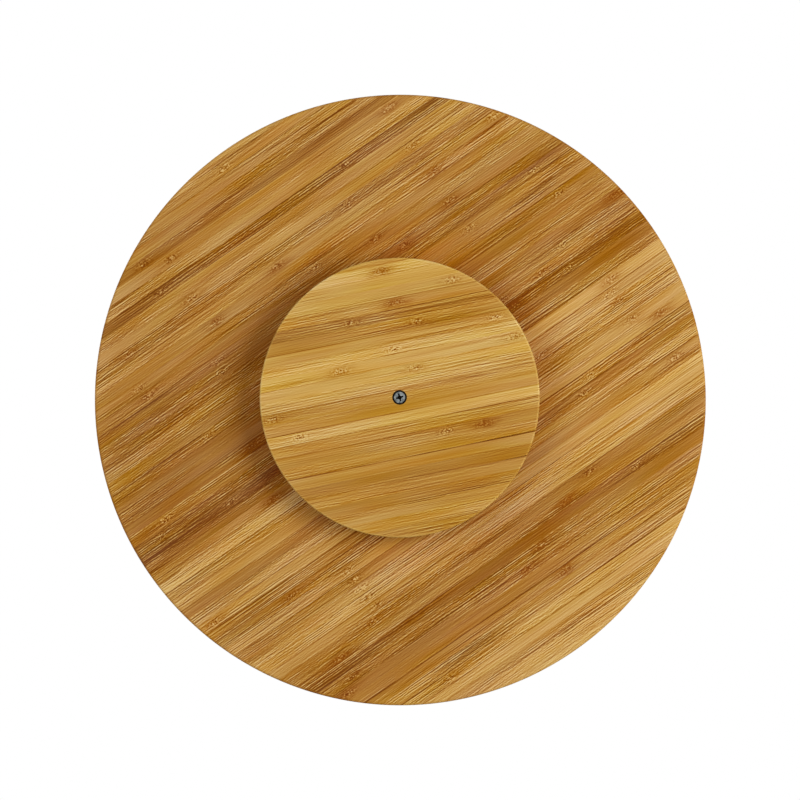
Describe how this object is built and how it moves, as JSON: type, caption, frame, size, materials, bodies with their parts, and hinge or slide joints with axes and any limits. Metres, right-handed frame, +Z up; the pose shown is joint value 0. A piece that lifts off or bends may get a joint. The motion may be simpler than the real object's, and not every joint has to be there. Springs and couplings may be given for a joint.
{
  "type": "lazy susan turntable",
  "caption": "Round flat bamboo tray that spins freely on a smaller round bamboo base, carried by a ring of steel balls and held by one countersunk screw through the middle.",
  "frame": {"origin": "centre of the base's underside, on the surface that the turntable stands on", "axes": "+Z up along the spin axis; +X and +Y lie in the board plane, with the first bearing ball on +X"},
  "size_m": [0.35, 0.35, 0.035],
  "materials": {
    "bamboo_tray": "side-pressed carbonised bamboo strips, sanded and oiled, satin",
    "bamboo_base": "side-pressed yellower bamboo strips, sanded and oiled, satin",
    "race_steel": "turned and lightly polished steel",
    "ball_steel": "polished chrome steel",
    "cage_nylon": "moulded natural nylon, matt",
    "zinc_screw": "bright zinc plate with a faint blue cast",
    "bush_acetal": "moulded dark brown acetal, matt",
    "washer_acetal": "punched natural acetal sheet, satin",
    "insert_brass": "turned brass"
  },
  "bodies": {
    "base": {"base_board": "bamboo_base", "lower_track": "race_steel", "pivot_bush": "bush_acetal"},
    "tray": {"tray_board": "bamboo_tray", "upper_track": "race_steel", "threaded_insert": "insert_brass", "pivot_screw": "zinc_screw", "thrust_washer": "washer_acetal"},
    "cage": {"ball_cage": "cage_nylon"},
    "ball_01": {"bearing_ball_01": "ball_steel"},
    "ball_02": {"bearing_ball_02": "ball_steel"},
    "ball_03": {"bearing_ball_03": "ball_steel"},
    "ball_04": {"bearing_ball_04": "ball_steel"},
    "ball_05": {"bearing_ball_05": "ball_steel"},
    "ball_06": {"bearing_ball_06": "ball_steel"},
    "ball_07": {"bearing_ball_07": "ball_steel"},
    "ball_08": {"bearing_ball_08": "ball_steel"},
    "ball_09": {"bearing_ball_09": "ball_steel"},
    "ball_10": {"bearing_ball_10": "ball_steel"},
    "ball_11": {"bearing_ball_11": "ball_steel"},
    "ball_12": {"bearing_ball_12": "ball_steel"},
    "ball_13": {"bearing_ball_13": "ball_steel"},
    "ball_14": {"bearing_ball_14": "ball_steel"},
    "ball_15": {"bearing_ball_15": "ball_steel"},
    "ball_16": {"bearing_ball_16": "ball_steel"}
  },
  "joints": [
    {"name": "tray_spin", "type": "hinge", "parent": "base", "child": "tray", "pos_m": [0, 0, 0.017], "axis": [0, 0, 1], "continuous": true},
    {"name": "cage_orbit", "type": "hinge", "parent": "base", "child": "cage", "pos_m": [0, 0, 0.017], "axis": [0, 0, 1], "continuous": true},
    {"name": "ball_01_roll", "type": "hinge", "parent": "cage", "child": "ball_01", "pos_m": [0.052, 0, 0.017], "axis": [1, 0, 0], "continuous": true},
    {"name": "ball_02_roll", "type": "hinge", "parent": "cage", "child": "ball_02", "pos_m": [0.04804, 0.0199, 0.017], "axis": [0.9239, 0.3827, 0], "continuous": true},
    {"name": "ball_03_roll", "type": "hinge", "parent": "cage", "child": "ball_03", "pos_m": [0.03677, 0.03677, 0.017], "axis": [0.7071, 0.7071, 0], "continuous": true},
    {"name": "ball_04_roll", "type": "hinge", "parent": "cage", "child": "ball_04", "pos_m": [0.0199, 0.04804, 0.017], "axis": [0.3827, 0.9239, 0], "continuous": true},
    {"name": "ball_05_roll", "type": "hinge", "parent": "cage", "child": "ball_05", "pos_m": [0, 0.052, 0.017], "axis": [0, 1, 0], "continuous": true},
    {"name": "ball_06_roll", "type": "hinge", "parent": "cage", "child": "ball_06", "pos_m": [-0.0199, 0.04804, 0.017], "axis": [-0.3827, 0.9239, 0], "continuous": true},
    {"name": "ball_07_roll", "type": "hinge", "parent": "cage", "child": "ball_07", "pos_m": [-0.03677, 0.03677, 0.017], "axis": [-0.7071, 0.7071, 0], "continuous": true},
    {"name": "ball_08_roll", "type": "hinge", "parent": "cage", "child": "ball_08", "pos_m": [-0.04804, 0.0199, 0.017], "axis": [-0.9239, 0.3827, 0], "continuous": true},
    {"name": "ball_09_roll", "type": "hinge", "parent": "cage", "child": "ball_09", "pos_m": [-0.052, 0, 0.017], "axis": [-1, 0, 0], "continuous": true},
    {"name": "ball_10_roll", "type": "hinge", "parent": "cage", "child": "ball_10", "pos_m": [-0.04804, -0.0199, 0.017], "axis": [-0.9239, -0.3827, 0], "continuous": true},
    {"name": "ball_11_roll", "type": "hinge", "parent": "cage", "child": "ball_11", "pos_m": [-0.03677, -0.03677, 0.017], "axis": [-0.7071, -0.7071, 0], "continuous": true},
    {"name": "ball_12_roll", "type": "hinge", "parent": "cage", "child": "ball_12", "pos_m": [-0.0199, -0.04804, 0.017], "axis": [-0.3827, -0.9239, 0], "continuous": true},
    {"name": "ball_13_roll", "type": "hinge", "parent": "cage", "child": "ball_13", "pos_m": [0, -0.052, 0.017], "axis": [0, -1, 0], "continuous": true},
    {"name": "ball_14_roll", "type": "hinge", "parent": "cage", "child": "ball_14", "pos_m": [0.0199, -0.04804, 0.017], "axis": [0.3827, -0.9239, 0], "continuous": true},
    {"name": "ball_15_roll", "type": "hinge", "parent": "cage", "child": "ball_15", "pos_m": [0.03677, -0.03677, 0.017], "axis": [0.7071, -0.7071, 0], "continuous": true},
    {"name": "ball_16_roll", "type": "hinge", "parent": "cage", "child": "ball_16", "pos_m": [0.04804, -0.0199, 0.017], "axis": [0.9239, -0.3827, 0], "continuous": true}
  ],
  "couplings": [
    {"joint": "cage_orbit", "follows": "tray_spin", "ratio": 0.5},
    {"joint": "ball_01_roll", "follows": "tray_spin", "ratio": -6.5},
    {"joint": "ball_02_roll", "follows": "tray_spin", "ratio": -6.5},
    {"joint": "ball_03_roll", "follows": "tray_spin", "ratio": -6.5},
    {"joint": "ball_04_roll", "follows": "tray_spin", "ratio": -6.5},
    {"joint": "ball_05_roll", "follows": "tray_spin", "ratio": -6.5},
    {"joint": "ball_06_roll", "follows": "tray_spin", "ratio": -6.5},
    {"joint": "ball_07_roll", "follows": "tray_spin", "ratio": -6.5},
    {"joint": "ball_08_roll", "follows": "tray_spin", "ratio": -6.5},
    {"joint": "ball_09_roll", "follows": "tray_spin", "ratio": -6.5},
    {"joint": "ball_10_roll", "follows": "tray_spin", "ratio": -6.5},
    {"joint": "ball_11_roll", "follows": "tray_spin", "ratio": -6.5},
    {"joint": "ball_12_roll", "follows": "tray_spin", "ratio": -6.5},
    {"joint": "ball_13_roll", "follows": "tray_spin", "ratio": -6.5},
    {"joint": "ball_14_roll", "follows": "tray_spin", "ratio": -6.5},
    {"joint": "ball_15_roll", "follows": "tray_spin", "ratio": -6.5},
    {"joint": "ball_16_roll", "follows": "tray_spin", "ratio": -6.5}
  ]
}
